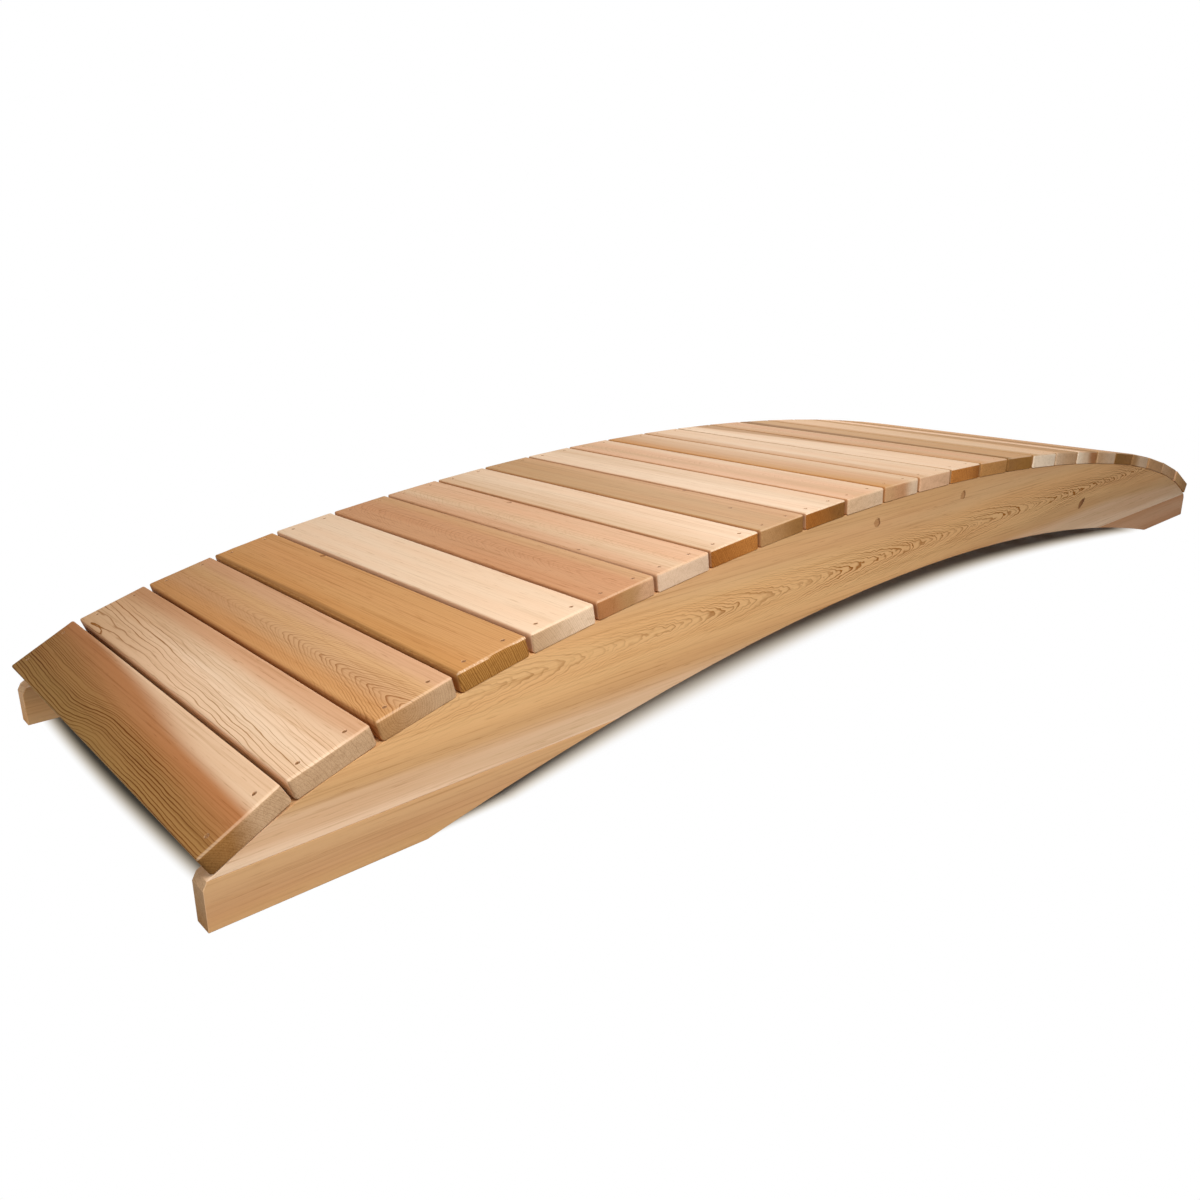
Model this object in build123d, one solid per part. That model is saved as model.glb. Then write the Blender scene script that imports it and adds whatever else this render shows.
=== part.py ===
from build123d import *
import math
import os

# Deck planks: dressed cedar boards laid flat across the two beams
plank_count = 25
plank_width = 89.0
plank_thickness = 24.0
plank_length = 610.0
plank_gap = 7.5
plank_edge_radius = 3.5

# Side beams: boards on edge, each an arched board with a wedge foot glued under either end
beam_thickness = 25.0
seam_height = 51.0
under_arch_height = 105.0
foot_bearing_length = 228.0
toe_margin = 4.0
toe_bevel_run = 4.5
toe_bevel_height = 8.0

# Walking curve, from the crown down to a toe: the degrees that each arc of a beam's
# upper edge turns through, and the arc's share of the half run
crown_turn = 8.75
shoulder_turn = 7.25
ramp_turn = 15.2
crown_run_share = 0.64
shoulder_run_share = 0.224


def turning_arc(start, heading, run, turn):
    """An arc that leaves start along heading, runs for a length and bends down by some degrees."""
    return JernArc(start, heading, run / math.radians(turn), -turn)


# Half of the walking curve, drawn from a crown at the origin: a wide arc over the middle,
# a tighter shoulder, and the tightest arc over the ramp down to the toe
plank_pitch = plank_width + plank_gap
half_run = (plank_count * plank_pitch - plank_gap) / 2 + toe_margin
crown_run = half_run * crown_run_share
shoulder_run = half_run * shoulder_run_share
ramp_run = half_run - crown_run - shoulder_run
crown_arc = turning_arc((0, 0), (1, 0), crown_run, crown_turn)
shoulder_arc = turning_arc(crown_arc @ 1, crown_arc % 1, shoulder_run, shoulder_turn)
ramp_arc = turning_arc(shoulder_arc @ 1, shoulder_arc % 1, ramp_run, ramp_turn)

# The crown stands so high that the curve comes down to the glued seam just past the last plank
toe = ramp_arc @ 1
crown_height = seam_height - toe.Y
walking_half = Pos(0, crown_height) * Wire([crown_arc, shoulder_arc, ramp_arc])

# The lower arch is one circle, from the ground at one foot to the ground at the other
half_length = toe.X + toe_bevel_run
spring_x = half_length - foot_bearing_length
under_radius = (spring_x**2 + under_arch_height**2) / (2 * under_arch_height)
under_centre = (0, under_arch_height - under_radius)
spring_angle = math.degrees(math.asin(spring_x / under_radius))
seam_angle = math.degrees(math.acos((seam_height - under_centre[1]) / under_radius))
seam_x = under_radius * math.sin(math.radians(seam_angle))


def arched_board_outline():
    """The upper board of a beam: walking curve above, level seams and the lower arch below."""
    seam = Line((seam_x, seam_height), (toe.X, seam_height))
    under_arch = CenterArc(under_centre, under_radius, 90 - seam_angle, 2 * seam_angle)
    half = [walking_half, seam]
    other_half = [mirror(line, about=Plane.YZ) for line in half]
    return make_face([edge for line in half + other_half for edge in line.edges()] + under_arch.edges())


def foot_outline():
    """The wedge under a board's right end: level seam, bevelled toe, ground and the lower arch."""
    rim = Polyline(
        (seam_x, seam_height),
        (toe.X, seam_height),
        (half_length, seam_height - toe_bevel_height),
        (half_length, 0),
        (spring_x, 0),
    )
    under_arch = CenterArc(under_centre, under_radius, 90 - spring_angle, spring_angle - seam_angle)
    return make_face(rim.edges() + under_arch.edges())


def front_board(outline):
    """A piece of the front beam, as thick as the beam and flush with the planks' front ends."""
    inner_face = Plane.XZ.offset(plank_length / 2 - beam_thickness)
    return extrude(inner_face * outline, beam_thickness)


def deck_plank():
    """A plank with its underside's middle at the origin and its long edges rounded over."""
    board = Box(
        plank_width,
        plank_length,
        plank_thickness,
        align=(Align.CENTER, Align.CENTER, Align.MIN),
    )
    return fillet(board.edges().filter_by(Axis.Y), plank_edge_radius)


def seat(distance):
    """The plane tangent to the walking curve at a distance along it from the crown."""
    side = math.copysign(1, distance)
    point = walking_half.position_at(abs(distance), position_mode=PositionMode.LENGTH)
    slope = walking_half.tangent_at(abs(distance), position_mode=PositionMode.LENGTH)
    return Plane(
        origin=(side * point.X, 0, point.Y),
        x_dir=(slope.X, 0, side * slope.Y),
        z_dir=(-side * slope.Y, 0, slope.X),
    )


# The beams: the back one mirrors the front one, and each left foot mirrors the right one
front_pieces = {
    "beam": front_board(arched_board_outline()),
    "beam_right_foot": front_board(foot_outline()),
}
front_pieces["beam_left_foot"] = mirror(front_pieces["beam_right_foot"], about=Plane.YZ)
nodes = {}
for name, piece in front_pieces.items():
    nodes[f"front_{name}"] = piece
    nodes[f"back_{name}"] = mirror(piece, about=Plane.XZ)

# The deck: planks one pitch apart along the walking curve, each seated on it by its middle
plank = deck_plank()
for number in range(1, plank_count + 1):
    distance = (number - (plank_count + 1) / 2) * plank_pitch
    nodes[f"plank_{number:02d}"] = seat(distance) * plank

os.makedirs("parts", exist_ok=True)
for name, piece in nodes.items():
    export_step(piece, f"parts/{name}.step")
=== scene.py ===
import math
import random

import bmesh
import bpy
from mathutils import Matrix, Vector
from mathutils import noise as smooth_noise


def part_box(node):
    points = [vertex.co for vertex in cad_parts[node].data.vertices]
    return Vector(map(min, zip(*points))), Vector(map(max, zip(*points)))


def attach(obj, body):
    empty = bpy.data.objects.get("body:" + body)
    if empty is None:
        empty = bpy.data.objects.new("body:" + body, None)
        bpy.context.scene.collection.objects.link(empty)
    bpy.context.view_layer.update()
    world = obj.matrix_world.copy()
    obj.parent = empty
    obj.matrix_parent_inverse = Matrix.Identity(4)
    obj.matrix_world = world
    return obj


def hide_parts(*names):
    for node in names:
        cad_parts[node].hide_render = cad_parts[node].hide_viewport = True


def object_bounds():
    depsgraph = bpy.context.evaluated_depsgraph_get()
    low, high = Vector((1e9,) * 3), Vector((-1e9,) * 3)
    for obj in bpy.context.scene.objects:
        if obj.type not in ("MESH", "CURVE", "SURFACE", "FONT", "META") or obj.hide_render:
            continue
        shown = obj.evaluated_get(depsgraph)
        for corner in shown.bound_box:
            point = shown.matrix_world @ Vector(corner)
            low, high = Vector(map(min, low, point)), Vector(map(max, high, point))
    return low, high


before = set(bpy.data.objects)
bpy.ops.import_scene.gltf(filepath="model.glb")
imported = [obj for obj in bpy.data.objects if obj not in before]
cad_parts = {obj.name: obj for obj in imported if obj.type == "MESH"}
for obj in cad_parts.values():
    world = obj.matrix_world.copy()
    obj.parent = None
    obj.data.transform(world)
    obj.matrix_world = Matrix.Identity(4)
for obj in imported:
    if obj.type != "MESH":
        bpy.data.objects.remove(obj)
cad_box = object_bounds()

# Feet: four wedges of cedar board on edge, as thick as the side boards. Each is sawn along the lower
# arch, glued under an end of a side board with a level seam, and stands flat on the ground.
# The cedar itself is worked out here too, because the feet are the first pieces made of it.
board_easing = 0.0007
easing_steps = 2
weld_distance = 1e-5
coplanar_angle = math.radians(0.1)
arris_angles = (math.radians(30), math.radians(150))
easing_profile = 0.5


def side_place(side):
    """A side board's own directions: along its grain, up its face, and out of its outer face."""
    lowest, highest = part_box(f"{side}_beam")
    if side == "front":
        along, out, outer = Vector((1, 0, 0)), Vector((0, -1, 0)), lowest.y
    else:
        along, out, outer = Vector((-1, 0, 0)), Vector((0, 1, 0)), highest.y
    turned = Matrix((along, Vector((0, 0, 1)), out)).transposed().to_4x4()
    return Matrix.Translation((0, outer, 0)) @ turned


def set_down(name, mesh, place, material):
    """An object of a mesh that is drawn in the piece's own directions, put in its place."""
    mesh.materials.append(material)
    piece = bpy.data.objects.new(name, mesh)
    piece.matrix_world = place
    bpy.context.scene.collection.objects.link(piece)
    return piece


def sawn_board(name, node, place):
    """The outline of a node in the board's own directions, with its sharp arrises eased."""
    shape = bmesh.new()
    shape.from_mesh(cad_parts[node].data)
    bmesh.ops.transform(shape, matrix=place.inverted(), verts=shape.verts)
    bmesh.ops.remove_doubles(shape, verts=shape.verts, dist=weld_distance)
    bmesh.ops.dissolve_limit(shape, angle_limit=coplanar_angle, verts=shape.verts, edges=shape.edges)
    least, most = arris_angles
    arrises = [edge for edge in shape.edges if least < edge.calc_face_angle(0) < most]
    bmesh.ops.bevel(
        shape,
        geom=arrises,
        offset=board_easing,
        offset_type="OFFSET",
        segments=easing_steps,
        profile=easing_profile,
        affect="EDGES",
    )
    bmesh.ops.recalc_face_normals(shape, faces=shape.faces)
    mesh = bpy.data.meshes.new(name)
    shape.to_mesh(mesh)
    shape.free()
    return mesh


class Grain:
    """A socket in a wood's node tree: a sum on it adds the Math nodes that work it out."""

    seed_strides = (7.31, 3.77, 5.13)
    seed_wraps = (97, 89, 83)
    cloud_roughness = 0.55

    def __init__(self, tree, socket=None):
        self.tree = tree
        self.socket = socket

    def node(self, kind, settings=None, inputs=None, output=0):
        """A new node: its settings first, then its sockets' values or links; gives one output."""
        made = self.tree.nodes.new(kind)
        for name, setting in (settings or {}).items():
            if name == "stops":
                ramp = made.color_ramp
                while len(ramp.elements) < len(setting):
                    ramp.elements.new(0.5)
                for element, (position, colour) in zip(ramp.elements, setting):
                    element.position = position
                    element.color = colour
            elif name == "interpolation":
                made.color_ramp.interpolation = setting
            else:
                setattr(made, name, setting)
        for name, value in (inputs or {}).items():
            if isinstance(value, Grain):
                self.tree.links.new(value.socket, made.inputs[name])
            else:
                made.inputs[name].default_value = value
        return Grain(self.tree, made.outputs[output] if made.outputs else None)

    def other(self, output):
        """Another output of the node that this socket belongs to."""
        return Grain(self.tree, self.socket.node.outputs[output])

    def maths(self, operation, *values):
        """The result of a Math node on some values."""
        return self.node("ShaderNodeMath", {"operation": operation}, dict(enumerate(values)))

    def __add__(self, value):
        return self.maths("ADD", self, value)

    __radd__ = __add__

    def __sub__(self, value):
        return self.maths("SUBTRACT", self, value)

    def __rsub__(self, value):
        return self.maths("SUBTRACT", value, self)

    def __mul__(self, value):
        return self.maths("MULTIPLY", self, value)

    __rmul__ = __mul__

    def __truediv__(self, value):
        return self.maths("DIVIDE", self, value)

    def __rtruediv__(self, value):
        return self.maths("DIVIDE", value, self)

    def __pow__(self, value):
        return self.maths("POWER", self, value)

    def __abs__(self):
        return self.maths("ABSOLUTE", self)

    def __neg__(self):
        return self.maths("MULTIPLY", self, -1)

    def step(self, start, end):
        """Rises smoothly from 0 at start to 1 at end."""
        return self.node(
            "ShaderNodeMapRange",
            {"interpolation_type": "SMOOTHSTEP"},
            {"Value": self, "From Min": start, "From Max": end},
        )

    def noise(self, lengths, seed, detail=2.0):
        """Cloudy values from -1 to 1 over a point in millimetres, patches about lengths in size."""
        inverse = tuple(1 / length for length in lengths)
        shift = tuple(seed * stride % wrap for stride, wrap in zip(self.seed_strides, self.seed_wraps))
        spread = self.node(
            "ShaderNodeVectorMath",
            {"operation": "MULTIPLY_ADD"},
            {0: self, 1: inverse, 2: shift},
        )
        cloud = self.node(
            "ShaderNodeTexNoise",
            {"noise_dimensions": "3D"},
            {"Vector": spread, "Scale": 1.0, "Detail": detail, "Roughness": self.cloud_roughness},
            output="Fac",
        )
        return cloud * 2 - 1

    def blend(self, colour, factor, way="MIX"):
        """This colour mixed with another one by a factor."""
        return self.node(
            "ShaderNodeMix",
            {"data_type": "RGBA", "blend_type": way, "clamp_factor": True},
            {0: factor, 6: self, 7: colour},
            output=2,
        )


def shown(red, green, blue):
    """The linear colour of one that is named by its look on a screen, from 0 to 255."""
    parts = [part / 255 for part in (red, green, blue)]
    bent = [part / 12.92 if part <= 0.04045 else ((part + 0.055) / 1.055) ** 2.4 for part in parts]
    return (*bent, 1.0)


# Tones of western red cedar, from the pale outer sapwood to the dark heart of the log, and of end grain
cedar_tones = {
    "ivory": shown(238, 207, 175),
    "cream": shown(230, 197, 163),
    "pearl": shown(222, 186, 149),
    "peach": shown(225, 180, 142),
    "blush": shown(214, 168, 130),
    "straw": shown(212, 171, 131),
    "wheat": shown(206, 160, 115),
    "rose": shown(202, 150, 108),
    "honey": shown(206, 153, 98),
    "amber": shown(200, 146, 87),
    "olive": shown(197, 155, 109),
    "drab": shown(184, 142, 97),
    "russet": shown(180, 122, 76),
    "umber": shown(158, 112, 62),
    "bark": shown(144, 103, 54),
    "ember": shown(171, 107, 47),
    "copper": shown(198, 130, 64),
    "dusk": shown(148, 100, 50),
    "peat": shown(118, 82, 40),
    "moss": shown(164, 115, 55),
    "clay": shown(184, 139, 92),
    "ash": shown(201, 165, 128),
    "flax": shown(226, 194, 164),
    "tan": shown(209, 164, 114),
    "sand": shown(214, 170, 122),
    "meal": shown(225, 179, 125),
    "nut": shown(180, 128, 65),
    "milk": shown(250, 226, 198),
    "chestnut": shown(160, 117, 66),
    "bracken": shown(151, 114, 62),
}

# Stains that darken those tones where a ring, a streak, a fibre or a knot lies, and a painted shade that
# darkens some planks towards one end
ring_stain = (0.42, 0.25, 0.08, 1.0)
streak_stain = (0.78, 0.66, 0.50, 1.0)
fine_stain = (0.66, 0.55, 0.40, 1.0)
warm_stain = (1.0, 0.94, 0.90, 1.0)
# Painted shade: the tone that darkens a plank towards an end that the lamps light less
painted_shade_tone = (0.76, 0.66, 0.54, 1.0)
end_stain = (0.58, 0.48, 0.36, 1.0)
knot_stain = (0.50, 0.34, 0.20, 1.0)
rim_stain = (0.30, 0.20, 0.12, 1.0)
# Paler sanded wood and a painted highlight along the eased arris at a plank's ends
sanded_arris_and_highlight_tone = shown(240, 214, 184)
metres_to_millimetres = 1000

# Clouds in the wood: their sizes in millimetres along, across and out of the board, where a board's own
# figure may give the first ones, a shift of the seed, and their detail
clouds = {
    "sway": ((420, 4000, 4000), 1, 0.0),
    "heave": ((4000, 4000), 2, 1.0),
    "jag": ((60,), 3, 1.0),
    "ripple": ((60, 9, 9), 4, 1.0),
    "fade": ((150, 30, 30), 5, 0.0),
    "wander": ((300, 30, 30), 6, 0.0),
    "streaks": ((520, 9, 9), 7, 3.0),
    "fibres": ((34, 1.7, 1.7), 8, 2.0),
    "crumble": ((4, 3, 3), 9, 2.0),
    "specks": ((9, 0.8, 1.3), 10, 3.0),
    "fine": ((190, 2.4, 2.4), 11, 3.0),
    "warmth": ((380, 26, 26), 12, 0.0),
    "blotches": ((30, 10, 6), 13, 1.0),
    "fray": ((6, 1.6, 3), 14, 1.0),
}

# Cloud values between which a mark comes in, from not at all to fully
marks = {
    "streaks": (-0.1, 0.75),
    "fine": (-0.1, 0.7),
    "fibres": (0.2, 0.55),
    "warmth": (-0.5, 0.6),
    "specks": (-0.3, 0.6),
    "blotches": (-0.1, 0.6),
    "fray": (-0.1, 0.35),
}

# Knots, in knot sizes: how they slant and stretch along the grain, push the rings aside and darken
knot_slant = 0.9
knot_stretch = 2.6
knot_narrowness = 5
knot_push = 0.8
push_spread = 0.35
knot_raggedness = 0.8
heart_edge = (0.5, 1.0)
plain_heart = 0.5
dark_heart = 0.4
crescent_along = 2.2
crescent_across = 0.3
crescent_edge = (-0.1, 0.5)
rim_inside = (0.25, 0.6)
rim_outside = (0.7, 1.1)
rim_share = 0.8

# Rings: how unevenly they lie, where in a ring the dark late wood is full and ends, and how they fade
unevenness = 1.6
unevenness_rate = 0.33
late_full = 0.9
late_end = (0.93, 1.0)
faintest_ring = 0.4
fade_middle = 0.8
fade_swing = 0.6
faint_share = 0.3
wander_reach = 7

# Faces: how far a surface has to turn to count as the top, a side, an end or an arris
top_edge = (0.0, 0.5)
side_edge = (0.6, 0.95)
side_tone_and_shade_share = 0.8
end_edge = (0.8, 0.97)
end_underside = 0.4
arris_edge = (0.15, 0.5)
sanded_arris_and_highlight_share = 0.25
blotch_share = 0.25

# Surface: bare planed wood, with fibres that stand a little proud of it
fibre_relief = 0.25
fine_relief = 0.2
ring_relief = 0.6
speck_relief = 0.9
relief_strength = 0.35
relief_depth = 0.0004
wood_roughness = 0.62
ring_roughness = 0.12
end_roughness = 0.16
wood_refraction = 1.45
wood_shine = 0.1

# A board's figure, in millimetres: how its rings lie and show, how its streaks, ends and knots look, and
# where painted shade darkens it towards one end
plain_figure = dict(
    spacing=3.2,
    dark=0.25,
    pith=(0, -90),
    lean=(15, 20),
    climb=(0, 0),
    reach=None,
    run=None,
    sway=6,
    heave=4,
    heave_length=240,
    kink=None,
    jag=0.6,
    jag_size=(24, 20),
    ripple=0.8,
    focus=4.0,
    steady=0.25,
    thin=0.5,
    lines=None,
    painted_shade_along=None,
    streaks=0.35,
    fine=0.7,
    flecks=0.65,
    end_rings=0.35,
    end_specks=0.65,
    fray=0.0,
    taper=0.0,
    taper_from=-2000,
    taper_turn=None,
    # The tone of a plank's sides, darker than its top: partly its own wood, partly painted shade in the
    # gaps
    side=None,
    knots=(),
)


def tone_ramp(share, tones, span):
    """Tones that lie at given millimetres across a board, with soft borders between them."""
    low, high = span
    stops = [((station - low) / (high - low), cedar_tones[tone]) for station, tone in tones]
    return share.node("ShaderNodeValToRGB", {"interpolation": "EASE", "stops": stops}, {0: share})


def cedar(name, seed, tones, end_tones, span, figure):
    """Solid cedar: growth rings round a pith line, tones across the board, fibres and end grain.

    All lengths are millimetres in the board's own directions: along its grain, across and out of its face.
    """
    facts = {**plain_figure, **figure}
    material = bpy.data.materials.new(name)
    material.use_nodes = True
    material.node_tree.nodes.clear()
    start = Grain(material.node_tree)
    seat = start.node("ShaderNodeTexCoord", output="Object")
    point = start.node(
        "ShaderNodeVectorMath",
        {"operation": "SCALE"},
        {0: seat, "Scale": metres_to_millimetres},
    )
    along = start.node("ShaderNodeSeparateXYZ", inputs={0: point})
    across, out = along.other("Y"), along.other("Z")

    def cloud(kind, *own_lengths):
        """Cloudy values over the board, with the board's own lengths before those in the table."""
        lengths, seed_shift, detail = clouds[kind]
        return point.noise((*own_lengths, *lengths), seed + seed_shift, detail)

    # Knots push the rings aside: each is a brown eye with a dark, ragged crescent on one side
    pushed = across
    knot_heart, knot_rim = 0, 0
    for knot_along, knot_across, knot_size, knot_dark in facts["knots"]:
        slanted = along - knot_along - knot_slant * knot_dark * (across - knot_across)
        from_knot = slanted / (knot_stretch * knot_size)
        beside_knot = (across - knot_across) / knot_size
        spread = from_knot * from_knot + push_spread * beside_knot * beside_knot
        near = start.maths("EXPONENT", -spread)
        pushed = pushed - beside_knot * near * (knot_push * knot_size)
        round_knot = knot_narrowness * from_knot * from_knot + beside_knot * beside_knot
        ragged = round_knot + knot_raggedness * cloud("crumble")
        heart_share = plain_heart + dark_heart * knot_dark
        knot_heart = knot_heart + (1 - ragged.step(*heart_edge)) * heart_share
        towards_rim = from_knot * crescent_along + crescent_across * beside_knot
        one_side = towards_rim.step(crescent_edge[0] - knot_dark, crescent_edge[1])
        inside = ragged.step(rim_inside[0] - knot_dark, rim_inside[1])
        knot_rim = knot_rim + inside * (1 - ragged.step(*rim_outside)) * one_side

    # Growth rings: the distance from a pith that leans and wanders along the board
    sway = cloud("sway") * facts["sway"]
    heave = cloud("heave", facts["heave_length"]) * facts["heave"]
    jag = cloud("jag", *facts["jag_size"]) * facts["jag"]
    ripple = cloud("ripple") * facts["ripple"]
    lean_across, lean_out = (lean / metres_to_millimetres for lean in facts["lean"])
    pith_across, pith_out = facts["pith"]
    from_pith = pushed - (along * lean_across + sway + pith_across)
    above_pith = out - (along * lean_out + pith_out)
    radius = (from_pith * from_pith + above_pith * above_pith) ** 0.5
    slope, bend = facts["climb"]
    climb = along * slope + along * along * (bend / metres_to_millimetres)
    if facts["kink"]:
        kink_at, kink_length, kink_shift = facts["kink"]
        climb = climb - kink_shift * along.step(kink_at - kink_length / 2, kink_at + kink_length / 2)
    rings = (radius + climb + heave + jag + ripple) / facts["spacing"]
    uneven = start.node(
        "ShaderNodeTexNoise",
        {"noise_dimensions": "1D"},
        {"W": rings * unevenness_rate + seed, "Scale": 1.0, "Detail": 1.0},
        output="Fac",
    )
    turn = rings + uneven * unevenness
    part = turn.maths("FRACT", turn)
    late = part.step(facts["thin"], late_full) ** 2 * (1 - part.step(*late_end))
    ring_number = turn.maths("FLOOR", turn)
    ring_weight = start.node(
        "ShaderNodeTexWhiteNoise",
        {"noise_dimensions": "1D"},
        {"W": ring_number + seed},
        output="Value",
    )
    flatness = (abs(above_pith) / radius) ** facts["focus"]
    fade = fade_middle + fade_swing * cloud("fade")
    clear = facts["steady"] + (1 - facts["steady"]) * flatness
    strong = faintest_ring + (1 - faintest_ring) * ring_weight
    ring_lines = late * strong * clear * fade * facts["dark"]
    if facts["reach"]:
        full_within, gone_beyond = facts["reach"]
        ring_lines = ring_lines * (1 - abs(from_pith).step(full_within, gone_beyond))
    if facts["run"]:
        faint_at, full_from = facts["run"]
        ring_lines = ring_lines * (faint_share + (1 - faint_share) * along.step(faint_at, full_from))

    # Tones across the board, with soft borders that wander along it
    low, high = span
    wander = cloud("wander") * wander_reach
    tapering = along.maths("MAXIMUM", along, facts["taper_from"])
    if facts["taper_turn"]:
        tapering = tapering * (1 - tapering / facts["taper_turn"])
    station = across + tapering * facts["taper"] + wander
    share = (station - low) / (high - low)
    face_tone = tone_ramp(share, tones, span)
    if facts["lines"]:
        full_at, gone_at = facts["lines"]
        ring_lines = ring_lines * station.step(gone_at, full_at)

    # Streaks and fibres run with the grain
    streaks = cloud("streaks").step(*marks["streaks"])
    fine = cloud("fine")
    fibres = cloud("fibres")
    warmth = cloud("warmth").step(*marks["warmth"])
    face = face_tone.blend(warm_stain, warmth, "MULTIPLY")
    # Painted shade: some planks darken towards one end, which the lamps light less
    if facts["painted_shade_along"]:
        unshaded_at, shaded_at = facts["painted_shade_along"]
        face = face.blend(painted_shade_tone, along.step(unshaded_at, shaded_at), "MULTIPLY")
    face = face.blend(streak_stain, streaks * facts["streaks"], "MULTIPLY")
    face = face.blend(fine_stain, fine.step(*marks["fine"]) * facts["fine"], "MULTIPLY")
    face = face.blend(fine_stain, fibres.step(*marks["fibres"]) * facts["flecks"], "MULTIPLY")
    face = face.blend(ring_stain, ring_lines, "MULTIPLY")

    # End grain shows where the surface faces along the board
    facing = start.node("ShaderNodeTexCoord", output="Normal")
    lengthwise = start.node("ShaderNodeSeparateXYZ", inputs={0: facing})
    upward = lengthwise.other("Z").step(*top_edge)
    sideways = abs(lengthwise.other("Y"))
    endwise = abs(lengthwise)
    # A plank's sides take a darker tone: partly their own wood, partly painted shade in the gaps between
    # planks
    if facts["side"]:
        face = face.blend(cedar_tones[facts["side"]], sideways.step(*side_edge) * side_tone_and_shade_share)
    end_mask = (endwise + end_underside * (1 - upward)).step(*end_edge)
    # The eased arris between the top and an end is lightened: partly paler sanded wood, partly a painted
    # highlight
    arris = endwise.step(*arris_edge) * upward * (1 - end_mask)
    specks = cloud("specks")
    blotches = cloud("blotches").step(*marks["blotches"])
    end = tone_ramp(share, end_tones, span)
    end = end.blend(end_stain, late * facts["end_rings"], "MULTIPLY")
    end = end.blend(end_stain, specks.step(*marks["specks"]) * facts["end_specks"], "MULTIPLY")
    end = end.blend(end_stain, blotches * blotch_share, "MULTIPLY")
    frayed = cloud("fray").step(*marks["fray"]) * facts["fray"]
    colour = face.blend(sanded_arris_and_highlight_tone, arris * (sanded_arris_and_highlight_share + frayed)).blend(end, end_mask)
    if facts["knots"]:
        colour = colour.blend(knot_stain, knot_heart, "MULTIPLY")
        colour = colour.blend(rim_stain, knot_rim * rim_share, "MULTIPLY")

    raised = fibres * fibre_relief + fine * fine_relief
    relief = raised - ring_lines * ring_relief + end_mask * specks * speck_relief
    bump = start.node(
        "ShaderNodeBump",
        inputs={"Strength": relief_strength, "Distance": relief_depth, "Height": relief},
    )
    surface = start.node(
        "ShaderNodeBsdfPrincipled",
        inputs={
            "Base Color": colour,
            "Roughness": wood_roughness + ring_roughness * ring_lines + end_roughness * end_mask,
            "IOR": wood_refraction,
            "Specular IOR Level": wood_shine,
            "Normal": bump,
        },
    )
    start.node("ShaderNodeOutputMaterial", inputs={"Surface": surface})
    return material


foot_seed = 40
foot_figure = dict(spacing=2.6, dark=0.25, pith=(-160, -60), lean=(4, 10), sway=3, heave=3, flecks=0.35)
foot_tones = {
    "front_left": ((0, "tan"), (25, "wheat"), (51, "sand")),
    "front_right": ((0, "rose"), (25, "blush"), (51, "rose")),
    "back_left": ((0, "sand"), (25, "tan"), (51, "olive")),
    "back_right": ((0, "honey"), (25, "rose"), (51, "wheat")),
}
foot_end_tones = ((0, "clay"), (51, "ash"))
for foot_number, (corner, tones) in enumerate(foot_tones.items()):
    side, end = corner.split("_")
    node = f"{side}_beam_{end}_foot"
    lowest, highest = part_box(node)
    place = side_place(side)
    span = (lowest.z * metres_to_millimetres, highest.z * metres_to_millimetres)
    wood = cedar(f"{corner}_foot_cedar", foot_seed + foot_number, tones, foot_end_tones, span, foot_figure)
    foot = set_down(f"{corner}_foot", sawn_board(f"{corner}_foot", node, place), place, wood)
    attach(foot, "root")
    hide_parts(node)

# Side boards: one wide cedar board on edge along each side, its upper edge sawn to the walking curve
# and its lower edge to the arch. The board is flat sawn, so the pith behind its face draws flames along
# it, and its lower edge keeps a band of pale sapwood.
board_seed = 50
flame_height = 147
side_board = dict(
    spacing=3.0,
    dark=1.7,
    sway=4,
    heave=11,
    heave_length=210,
    jag=2.6,
    jag_size=(15, 9),
    ripple=0.4,
    focus=0.6,
    steady=0.1,
    thin=0.3,
    reach=(18, 42),
    streaks=0.45,
    fine=0.75,
    flecks=0.55,
    taper=-0.056,
    taper_from=0,
    taper_turn=1106,
)
side_figures = {
    "front": dict(
        side_board,
        pith=(flame_height, -7.5),
        lean=(3, 0),
        climb=(0.12, -0.02),
        run=(-1000, 100),
        knots=((-157, 203, 7.5, 0.1), (97, 208, 7.5, 0.15), (583, 120, 10, 1.0)),
    ),
    "back": dict(
        side_board,
        dark=1.1,
        pith=(132, -9),
        lean=(-4, 0),
        climb=(-0.12, -0.02),
        knots=((-420, 150, 7, 0.6), (260, 196, 5, 0), (705, 131, 6, 0)),
    ),
}
side_tones = (
    (51, "ivory"),
    (64, "pearl"),
    (76, "pearl"),
    (94, "tan"),
    (120, "meal"),
    (160, "meal"),
    (195, "sand"),
    (228, "tan"),
)
side_end_tones = ((51, "clay"), (233, "clay"))
for board_number, (side, figure) in enumerate(side_figures.items()):
    node = f"{side}_beam"
    lowest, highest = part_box(node)
    place = side_place(side)
    span = (lowest.z * metres_to_millimetres, highest.z * metres_to_millimetres)
    wood = cedar(f"{side}_board_cedar", board_seed + board_number, side_tones, side_end_tones, span, figure)
    board = set_down(f"{side}_arched_board", sawn_board(f"{side}_arched_board", node, place), place, wood)
    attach(board, "root")
    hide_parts(node)

# Deck planks: dressed cedar boards laid across the side boards with open gaps, rounded along their
# edges and eased at their ends. Each comes from another board, so its tones and figure are its own.
# Every end is drilled and countersunk for two screws.
plank_names = sorted(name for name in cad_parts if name.startswith("plank_"))

# The section and the ends, with a narrow band of faces beside each rounding that keeps the flats flat
edge_radius = 0.0027
end_easing = 0.0036
plank_swell = 0.0012
plank_overhang = 0.0014
low_arris_share = 0.3
corner_steps = 6
end_steps = 4
section_pitch = 0.02
support = 0.001
crease_angle = math.radians(32)

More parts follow.
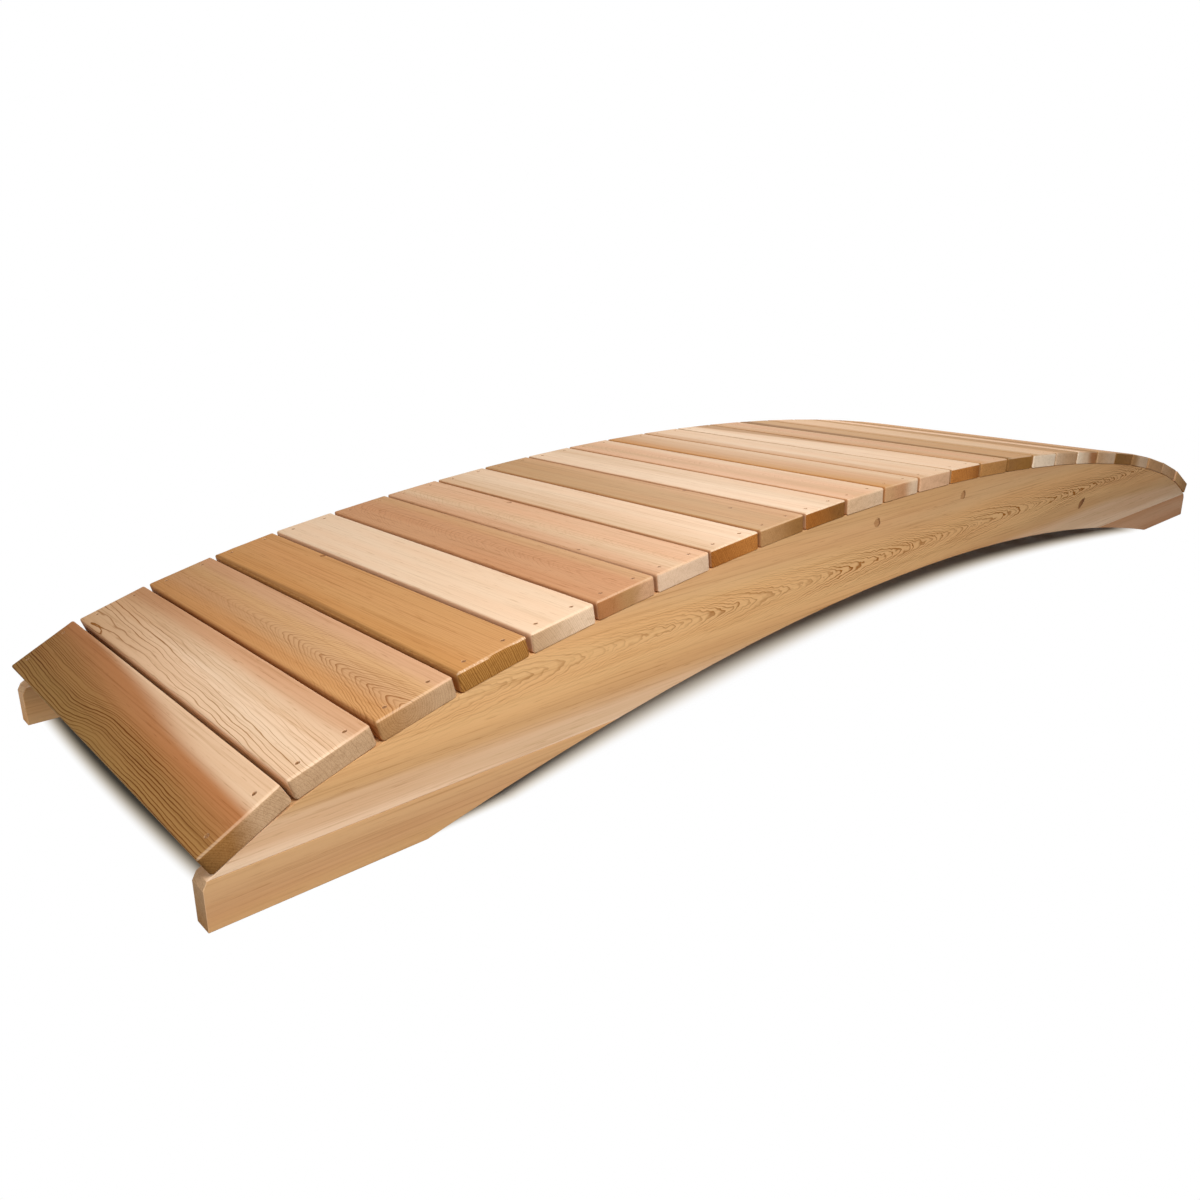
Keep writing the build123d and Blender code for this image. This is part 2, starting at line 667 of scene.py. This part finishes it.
# Screw holes: their places, and the share of the radius and of the depth at each rim
screw_across = 0.026
screw_from_end = 0.0155
hole_cell = 0.008
hole_radius = 0.0029
hole_depth = 0.0016
hole_points = 16
hole_rims = ((1.0, 0.0), (0.9, 0.25), (0.86, 1.0))
same_point = 1e-6
same_station = 1e-5

# What sets one plank apart from the next: its spring, its overhang and its worn or torn edges
most_bow = 0.0004
most_crook = 0.0005
most_overhang_change = 0.0008
edge_wear = 0.22
wear_rate = 14
wear_seed_stride = 1.7
least_edge_radius = 0.0006
torn_refinement = 6
torn_range = (-0.0007, 0.0003)


def plank_place(name):
    """A plank's own directions (towards the near end, across, and up), its middle and half sizes."""
    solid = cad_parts[name].data
    up = max(solid.polygons, key=lambda face: face.area * (face.normal.z > 0)).normal.copy()
    along = Vector((0, -1, 0))
    across = up.cross(along)
    turned = Matrix((along, across, up)).transposed()
    corners = [turned.transposed() @ vertex.co for vertex in solid.vertices]
    lowest = Vector(min(corner[axis] for corner in corners) for axis in range(3))
    highest = Vector(max(corner[axis] for corner in corners) for axis in range(3))
    middle = turned @ ((lowest + highest) / 2)
    return Matrix.Translation(middle) @ turned.to_4x4(), (highest - lowest) / 2


def plank_section(half_width, half_height, radius):
    """Points round a plank's section, as (across, up), with the top's flat first."""
    flat = half_width - radius
    tall = half_height - radius
    drill_edges = [screw_across - hole_cell, screw_across + hole_cell]
    right_flat = [*drill_edges, flat - support, flat]
    left_flat = [-station for station in reversed(right_flat)]
    points = [(station, half_height) for station in (*left_flat, 0, *right_flat)]
    sides = (
        (flat, tall, 90, [(half_width, tall - support), (half_width, support - tall)]),
        (flat, -tall, 0, [(station, -half_height) for station in (flat - support, 0, support - flat)]),
        (-flat, -tall, -90, [(-half_width, support - tall), (-half_width, tall - support)]),
        (-flat, tall, -180, []),
    )
    for centre_across, centre_up, from_angle, next_flat in sides:
        for step in range(1, corner_steps + 1):
            angle = math.radians(from_angle - 90 * step / corner_steps)
            points.append((centre_across + radius * math.cos(angle), centre_up + radius * math.sin(angle)))
        points.extend(next_flat)
    return points[:-1]


def plank_mesh(name, half, seed, torn):
    """A plank with rounded edges, eased ends, a little spring in its length and four screw holes."""
    draw = random.Random(seed)
    bow = draw.uniform(-most_bow, most_bow)
    crook = draw.uniform(-most_crook, most_crook)
    overhang = draw.uniform(-most_overhang_change, most_overhang_change)
    half_length = half.x + plank_overhang + overhang
    drill_stations = [half.x - screw_from_end - hole_cell, half.x - screw_from_end + hole_cell]
    middle_run = 2 * drill_stations[0]
    pitch = section_pitch / torn_refinement if torn else section_pitch
    middle_count = round(middle_run / pitch)
    stations = [-drill_stations[0] + middle_run * step / middle_count for step in range(middle_count + 1)]
    eased_from = half_length - end_easing
    outer = [drill_stations[1], eased_from - support]
    eased = []
    for step in range(end_steps + 1):
        angle = math.radians(90 * step / end_steps)
        eased.append((eased_from + end_easing * math.sin(angle), end_easing * (1 - math.cos(angle))))
    near = [(station, 0.0) for station in outer] + eased
    far = [(-station, inset) for station, inset in reversed(near)]
    sections = far + [(station, 0.0) for station in stations] + near

    shape = bmesh.new()
    loops = []
    for station, inset in sections:
        wear = 1 + edge_wear * smooth_noise.noise((station * wear_rate, seed * wear_seed_stride, 0))
        radius = max(edge_radius * wear - inset, least_edge_radius)
        settle = inset * (1 - low_arris_share) / 2
        share = station / half.x
        loop = []
        for across, up in plank_section(half.y - inset, half.z - inset + settle, radius):
            ragged = 0.0
            if torn and up > 0 and (across < 0 or station > eased_from - support):
                rounded = min(abs(abs(across) - half.y), abs(abs(up) - half.z)) > same_point
                ragged = draw.uniform(*torn_range) if rounded or inset > 0 else 0.0
            place = (
                station,
                across + crook * (1 - share * share) + ragged,
                up - settle + bow * (1 - share * share) + ragged,
            )
            loop.append(shape.verts.new(place))
        loops.append(loop)

    count = len(loops[0])
    top_stations = [across for across, up in plank_section(half.y, half.z, edge_radius) if up == half.z]
    drilled = []
    for first, second in zip(range(len(loops) - 1), range(1, len(loops))):
        middle = (sections[first][0] + sections[second][0]) / 2
        for point in range(count):
            following = (point + 1) % count
            corners = [
                loops[first][point],
                loops[second][point],
                loops[second][following],
                loops[first][following],
            ]
            in_cell = abs(abs(middle) - (half.x - screw_from_end)) < same_station
            on_top = point + 1 < len(top_stations)
            if in_cell and on_top:
                centre = (top_stations[point] + top_stations[point + 1]) / 2
                if abs(abs(centre) - screw_across) < same_point:
                    drilled.append(corners)
                    continue
            shape.faces.new(corners)
    shape.faces.new(loops[0])
    shape.faces.new(loops[-1])
    for corners in drilled:
        drill_hole(shape, corners)
    bmesh.ops.recalc_face_normals(shape, faces=shape.faces)
    mesh = bpy.data.meshes.new(name)
    shape.to_mesh(mesh)
    shape.free()
    mesh.shade_smooth()
    mesh.set_sharp_from_angle(angle=crease_angle)
    return mesh


def drill_hole(shape, corners):
    """A countersunk hole in the square between four corners of a plank's top."""
    centre = sum((corner.co for corner in corners), Vector()) / len(corners)
    first = corners[0].co - centre
    begin = math.atan2(first.y, first.x)
    second = corners[1].co - centre
    turn = 1 if first.x * second.y - first.y * second.x > 0 else -1
    rims = []
    for radius_share, depth_share in hole_rims:
        radius = hole_radius * radius_share
        depth = hole_depth * depth_share
        rim = []
        for step in range(hole_points):
            angle = begin + turn * 2 * math.pi * step / hole_points
            place = centre + Vector((radius * math.cos(angle), radius * math.sin(angle), -depth))
            rim.append(shape.verts.new(place))
        rims.append(rim)
    quarter = hole_points // 4
    for index, corner in enumerate(corners):
        arc = [rims[0][(index * quarter + step) % hole_points] for step in range(quarter + 1)]
        shape.faces.new([corner, corners[(index + 1) % 4], *reversed(arc)])
    for upper, lower in zip(rims, rims[1:]):
        for step in range(hole_points):
            following = (step + 1) % hole_points
            shape.faces.new([upper[step], upper[following], lower[following], lower[step]])
    shape.faces.new(rims[-1])


straight = dict(
    spacing=2.4,
    dark=0.3,
    pith=(-150, -70),
    lean=(10, 12),
    sway=4,
    heave=1.5,
    ripple=0.7,
    steady=0.5,
)
flat_sawn = dict(
    spacing=1.3,
    dark=0.3,
    pith=(4, -45),
    lean=(18, 120),
    sway=8,
    heave=4,
    jag=1.0,
    focus=2.5,
    steady=0.2,
)
tone_stations = (-36, -12, 12, 36)
end_stations = {2: (-36, 36), 3: (-34, 4, 34)}

# Each plank from the left end on: the tones across its face, those across its ends, and its figure
plank_woods = [
    (((-44, "bracken"), (-14, "chestnut"), (20, "russet"), (43, "cream")), ("peat", "umber", "ash"),
     dict(spacing=2.5, dark=2.2, painted_shade_along=(50, -700), pith=(-85, -45), lean=(-15, 0), sway=4, heave=3,
          heave_length=200, ripple=0.8, kink=(-50, 120, 12), focus=1.0, steady=0.9, thin=0.45,
          fine=0.8, streaks=0.4, taper=0.07, lines=(-14, 16))),
    (((-36, "cream"), (-8, "ivory"), (10, "cream"), (34, "blush")), ("ash", "ash"),
     dict(spacing=4.0, dark=1.1, painted_shade_along=(80, -330), pith=(-58, -28), lean=(-70, 22), sway=6, heave=2.4,
          heave_length=95, jag=0.5, ripple=1.6, focus=1.0, steady=0.8, thin=0.7, lines=(2, 24))),
    (("honey", "wheat", "sand", "blush"), ("clay", "ash"),
     dict(spacing=2.7, dark=0.95, painted_shade_along=(250, -700), pith=(-7, 6), lean=(-22, 0), climb=(-0.21, 0),
          sway=4, heave=4, heave_length=120, jag=1.6, jag_size=(18, 12), ripple=0.8, focus=0.4,
          steady=0.4, thin=0.35, reach=(24, 44), run=(-200, 120))),
    (((-45, "umber"), (-39, "amber"), (0, "honey"), (36, "honey")), ("nut", "nut"),
     dict(straight, thin=0.4, pith=(-300, -80), dark=0.5, fine=0.9, streaks=0.4, end_rings=1.6,
          fray=0.5, side="amber", knots=((-139, 41, 3.5, 0.8),))),
    (("ivory", "ivory", "ivory", "ivory"), ("ash", "ivory"),
     dict(straight, dark=0.15, streaks=0.15, fine=0.5, flecks=0.6, end_specks=0.4, side="peach")),
    (("rose", "rose", "rose", "wheat"), ("russet", "clay", "blush"), dict(flat_sawn, flecks=1.4)),
    (("blush", "pearl", "peach", "peach"), ("flax", "flax"),
     dict(flat_sawn, dark=0.2, flecks=1.1, end_specks=0.4,
          knots=((-92, 38, 4.0, 0.2), (159, -42, 2.2, 0.6)))),
    (("pearl", "cream", "ivory", "ivory"), ("ember", "copper"),
     dict(straight, dark=0.15, end_rings=0.8, end_specks=0.9, fray=0.75, side="russet")),
    (("olive", "olive", "olive", "wheat"), ("clay", "umber"),
     dict(straight, dark=0.25, side="russet", knots=((86, 42, 2.8, 0.4), (203, 11, 3.0, 0.1)))),
    (("ivory", "ivory", "cream", "cream"), ("ember", "dusk"),
     dict(straight, dark=0.15, end_rings=0.8, end_specks=0.9, fray=0.75, side="russet")),
    (("peach", "straw", "peach", "cream"), ("pearl", "cream"), dict(flat_sawn, dark=0.25, side="russet")),
    (("amber", "wheat", "straw", "pearl"), ("wheat", "rose", "ivory"),
     dict(straight, dark=0.25, side="russet")),
    (("straw", "cream", "cream", "cream"), ("peach", "peach"),
     dict(straight, dark=0.15, end_specks=0.4, side="russet")),
    (((-36, "ivory"), (-8, "ivory"), (25, "cream"), (44, "drab")), ("copper", "ember", "dusk"),
     dict(straight, dark=0.2, taper=-0.12, end_rings=0.8, end_specks=0.9, fray=0.4, side="umber")),
    (("wheat", "straw", "blush", "straw"), ("amber", "amber"),
     dict(flat_sawn, dark=0.3, end_rings=0.8, end_specks=1.0, side="umber")),
    (((-44, "bark"), (-35, "bark"), (-16, "olive"), (36, "olive")), ("umber", "moss"),
     dict(straight, dark=0.3, taper=0.03)),
    (("olive", "pearl", "pearl", "pearl"), ("milk", "milk"),
     dict(straight, dark=0.15, end_specks=0.2, side="umber")),
    (((-28, "pearl"), (-14, "olive"), (6, "drab"), (36, "drab")), ("cream", "straw"),
     dict(straight, dark=0.25, taper=0.06, side="umber")),
    (((-36, "ivory"), (-12, "peach"), (10, "drab"), (34, "umber")), ("milk", "cream", "russet"),
     dict(straight, dark=0.25, taper=0.02, end_specks=0.2, side="umber")),
    (("olive", "olive", "wheat", "straw"), ("straw", "cream"), dict(straight, dark=0.25, side="umber")),
    (("straw", "straw", "straw", "straw"), ("bark", "umber"), dict(straight, dark=0.25, painted_shade_along=(-50, 340))),
    (("straw", "straw", "wheat", "olive"), ("clay", "cream", "cream"),
     dict(straight, dark=0.25, painted_shade_along=(-50, 340))),
    (("olive", "straw", "cream", "ivory"), ("wheat", "wheat"), dict(straight, dark=0.25)),
    (("drab", "wheat", "cream", "ivory"), ("straw", "wheat"), dict(flat_sawn, dark=0.25)),
    (("peach", "honey", "honey", "honey"), ("tan", "clay"), dict(straight, dark=0.25)),
]
torn_plank = 4
end_plank_lift = math.radians(1.5)
end_plank_shift = 0.003
plank_places = {}
for plank_number, (name, (tones, end_tones, figure)) in enumerate(zip(plank_names, plank_woods), 1):
    place, half = plank_place(name)
    half.y += plank_swell
    if plank_number == 1:
        heel = Matrix.Translation((0, -half.y, -half.z))
        lifted = Matrix.Translation((0, end_plank_shift, 0)) @ Matrix.Rotation(end_plank_lift, 4, "X")
        place = place @ heel @ lifted @ heel.inverted()
    plank_places[name] = (place, half)
    span = (-half.y * metres_to_millimetres, half.y * metres_to_millimetres)
    placed_tones = tones if isinstance(tones[0], tuple) else tuple(zip(tone_stations, tones))
    placed_end_tones = tuple(zip(end_stations[len(end_tones)], end_tones))
    wood = cedar(f"{name}_cedar", plank_number, placed_tones, placed_end_tones, span, figure)
    mesh = plank_mesh(f"deck_{name}", half, plank_number, plank_number == torn_plank)
    plank = set_down(f"deck_{name}", mesh, place, wood)
    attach(plank, "root")
    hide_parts(name)

# Screws: slim countersunk steel screws with a square socket, two at each end of a plank, driven just
# below the surface. Their dull, brown-grey heads are all that shows.
head_radius = 0.0024
head_rim = 0.0003
head_sunk = 0.0005
socket_half = 0.0011
socket_depth = 0.0009
socket_taper = 0.85
steel_tone = shown(168, 122, 76)
tarnish_tone = shown(120, 80, 46)
tarnish_size = (1.5, 1.5, 1.5)
tarnish_seed = 3
tarnish_edge = (-0.5, 0.6)
steel_metal = 0.15
steel_roughness = 0.55
tarnish_roughness = 0.1


def screw_head(shape, place):
    """A screw's head with a square socket, its top in the plane of a place."""
    loops = []
    rings = (
        (head_radius, hole_depth - head_sunk, False),
        (head_radius, head_rim, False),
        (head_radius - head_rim, 0, False),
        (socket_half, 0, True),
        (socket_half * socket_taper, socket_depth, True),
    )
    for size, depth, square in rings:
        loop = []
        for step in range(hole_points):
            angle = 2 * math.pi * step / hole_points
            across, up = math.cos(angle), math.sin(angle)
            reach = size / max(abs(across), abs(up)) if square else size
            loop.append(shape.verts.new(place @ Vector((across * reach, up * reach, -depth))))
        loops.append(loop)
    for lower, upper in zip(loops, loops[1:]):
        for step in range(hole_points):
            following = (step + 1) % hole_points
            shape.faces.new([lower[step], lower[following], upper[following], upper[step]])
    shape.faces.new(loops[-1])


def dulled_steel():
    """Steel that has gone dull and brown in patches."""
    material = bpy.data.materials.new("dulled_steel")
    material.use_nodes = True
    material.node_tree.nodes.clear()
    start = Grain(material.node_tree)
    seat = start.node("ShaderNodeTexCoord", output="Object")
    point = start.node(
        "ShaderNodeVectorMath",
        {"operation": "SCALE"},
        {0: seat, "Scale": metres_to_millimetres},
    )
    tarnish = point.noise(tarnish_size, tarnish_seed)
    colour = start.node(
        "ShaderNodeMix",
        {"data_type": "RGBA"},
        {0: tarnish.step(*tarnish_edge), 6: steel_tone, 7: tarnish_tone},
        output=2,
    )
    surface = start.node(
        "ShaderNodeBsdfPrincipled",
        inputs={
            "Base Color": colour,
            "Metallic": steel_metal,
            "Roughness": steel_roughness + tarnish_roughness * tarnish,
        },
    )
    start.node("ShaderNodeOutputMaterial", inputs={"Surface": surface})
    return material


heads = bmesh.new()
for place, half in plank_places.values():
    for end in (-1, 1):
        for edge in (-1, 1):
            seat = Vector((end * (half.x - screw_from_end), edge * screw_across, half.z - head_sunk))
            screw_head(heads, place @ Matrix.Translation(seat))
bmesh.ops.recalc_face_normals(heads, faces=heads.faces)
head_mesh = bpy.data.meshes.new("deck_screws")
heads.to_mesh(head_mesh)
heads.free()
screws = set_down("deck_screws", head_mesh, Matrix.Identity(4), dulled_steel())
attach(screws, "root")

# Floor and light: a white studio floor that keeps the shadow under the arch, a soft lamp in front and
# above, a second one behind the far right corner, a third off the left end, a narrow one aimed low at the
# far left foot, and a dim white room. The floor glows outside the deck's shadow, so it shows as white.
# The shadow's outline is painted: the glow stops along it and reaches in under the arch as a painted lit
# strip, while inside it the lamps shade a matte floor that has painted shade towards the left end.
floor_reach = 30.0
floor_oval = 1.75
floor_white_from = (1.0, 1.5)
pure_white = (1, 1, 1, 1)
floor_lit = (0.96, 0.93, 0.88, 1)
# Painted shade: the floor darkens towards the left end, and the glow is warm at the painted shadow's edge
floor_end_shade = (0.16, 0.15, 0.125, 1)
floor_painted_shadow_tint = (1, 0.84, 0.62, 1)
floor_bounce = (0.32, 0.32, 0.32, 1)
room_light = 0.28

# Lamps: their places and watts, and where the narrow one points
lamp_radius = 0.45
lamps = {
    "front_lamp": ((-0.92, -1.46, 1.40), 114),
    "back_lamp": ((1.10, 1.04, 1.42), 72),
    "left_lamp": ((-3.30, -0.50, 1.30), 74),
}
low_lamp_place = Vector((-2.0, -0.25, 0.06))
low_lamp_aim = Vector((-1.15, 0.28, -0.02))
low_lamp_watts = 20
low_lamp_cone = math.radians(10)
low_lamp_blend = 0.4
low_lamp_radius = 0.05

# The painted shadow's outline on the floor: bowed ends, and a painted lit strip that reaches in under the
# arch
shadow_half_length = 1.164
shadow_bow = 0.08
shadow_bow_middle = 0.08
shadow_end_fade = 0.025
shadow_side_fades = (0.02, 0.07)
side_fade_widens = (-1.0, -0.4)
end_shade_from = -0.4
arch_lit_at = 0.25
arch_lit_depth = 0.131
arch_lit_bends = (0.098, 0.22)


def seen_directly(start):
    """1 for what the camera sees, straight or by a mirror or through glass, and 0 for stray light."""
    path = start.node("ShaderNodeLightPath", output="Is Camera Ray")
    mirrored = path.other("Is Glossy Ray")
    through = path.other("Is Transmission Ray")
    return path.maths("MAXIMUM", path, path.maths("MAXIMUM", mirrored, through))


def floor_material():
    """Painted light: white that glows where the front lamp reaches past the deck's ends and in under the
    arch.
    """
    material = bpy.data.materials.new("white_floor")
    material.use_nodes = True
    material.node_tree.nodes.clear()
    start = Grain(material.node_tree)
    point = start.node("ShaderNodeTexCoord", output="Object")
    x = start.node("ShaderNodeSeparateXYZ", inputs={0: point})
    y = x.other("Y")
    distance = ((x / floor_oval) * (x / floor_oval) + y * y) ** 0.5
    half_width = cad_box[1].y
    from_peak = x - arch_lit_at
    left_bend, right_bend = arch_lit_bends
    bend = left_bend + (right_bend - left_bend) * start.maths("GREATER_THAN", from_peak, 0)
    tight_fade, wide_fade = shadow_side_fades
    side_fade = tight_fade + (wide_fade - tight_fade) * x.step(*side_fade_widens)
    lit_depth = start.maths("MAXIMUM", arch_lit_depth - bend * from_peak * from_peak, 0.5 * side_fade)
    from_middle = y - shadow_bow_middle
    bowed_length = shadow_half_length - shadow_bow * from_middle * from_middle
    past_end = (abs(x) - bowed_length) / shadow_end_fade + 0.5
    past_side = (abs(y) - half_width + lit_depth) / side_fade + 0.5
    outside = start.maths("MAXIMUM", past_end, past_side).step(0, 1)

    def matte(colour):
        return start.node("ShaderNodeBsdfDiffuse", inputs={"Color": colour})

    def mixed(share, first, second):
        return start.node("ShaderNodeMixShader", inputs={0: share, 1: first, 2: second})

    def glow(colour):
        return start.node("ShaderNodeEmission", inputs={"Color": colour, "Strength": 1.0})

    # Painted shadow tint: the glow is warm at the shadow's edge and white beyond it
    painted_tint_to_white = start.node(
        "ShaderNodeMix",
        {"data_type": "RGBA"},
        {0: outside, 6: floor_painted_shadow_tint, 7: pure_white},
        output=2,
    )
    # Painted shade: inside the outline the matte floor darkens towards the left end
    shaded = mixed(x.step(end_shade_from, -shadow_half_length), matte(floor_lit), matte(floor_end_shade))
    near = mixed(outside, shaded, glow(painted_tint_to_white))
    seen = mixed(distance.step(*floor_white_from), near, glow(pure_white))
    stray = matte(floor_bounce)
    whole = mixed(seen_directly(start), stray, seen)
    start.node("ShaderNodeOutputMaterial", inputs={"Surface": whole})
    return material


ground = bmesh.new()
bmesh.ops.create_grid(ground, x_segments=1, y_segments=1, size=floor_reach)
floor_mesh = bpy.data.meshes.new("studio_floor")
ground.to_mesh(floor_mesh)
ground.free()
floor = set_down("studio_floor", floor_mesh, Matrix.Identity(4), floor_material())

for name, (place, watts) in lamps.items():
    bulb = bpy.data.lights.new(name, "POINT")
    bulb.energy = watts
    bulb.shadow_soft_size = lamp_radius
    lamp = bpy.data.objects.new(name, bulb)
    lamp.location = place
    lamp.visible_camera = False
    bpy.context.scene.collection.objects.link(lamp)

low_bulb = bpy.data.lights.new("low_lamp", "SPOT")
low_bulb.energy = low_lamp_watts
low_bulb.spot_size = low_lamp_cone
low_bulb.spot_blend = low_lamp_blend
low_bulb.shadow_soft_size = low_lamp_radius
low_lamp = bpy.data.objects.new("low_lamp", low_bulb)
low_lamp.location = low_lamp_place
low_lamp.rotation_euler = (low_lamp_aim - low_lamp_place).to_track_quat("-Z", "Y").to_euler()
low_lamp.visible_camera = False
bpy.context.scene.collection.objects.link(low_lamp)

room = bpy.data.worlds.new("white_room")
room.use_nodes = True
room.node_tree.nodes.clear()
start = Grain(room.node_tree)
strength = room_light + (1 - room_light) * seen_directly(start)
air = start.node("ShaderNodeBackground", inputs={"Color": pure_white, "Strength": strength})
start.node("ShaderNodeOutputWorld", inputs={"Surface": air})
bpy.context.scene.world = room
bpy.context.scene.view_settings.view_transform = "Standard"

# Camera: about half a metre up, off the near left corner, looking along the deck and a little down.
# Its lens and place come from the photograph, where the planks' corners fix them.
photo_size = 1200
focal_pixels = 1002.5
middle_pixel = (612.75, 581.8)
sensor = 36.0
camera_place = (-1.4411, -1.1044, 0.5610)
view_direction = Vector((0.65087, 0.69963, -0.29475))
lens = bpy.data.cameras.new("camera")
lens.sensor_width = sensor
lens.lens = focal_pixels * sensor / photo_size
lens.shift_x = (photo_size / 2 - middle_pixel[0]) / photo_size
lens.shift_y = (middle_pixel[1] - photo_size / 2) / photo_size
camera = bpy.data.objects.new("camera", lens)
camera.location = camera_place
camera.rotation_euler = view_direction.to_track_quat("-Z", "Y").to_euler()
bpy.context.scene.collection.objects.link(camera)
bpy.context.scene.camera = camera
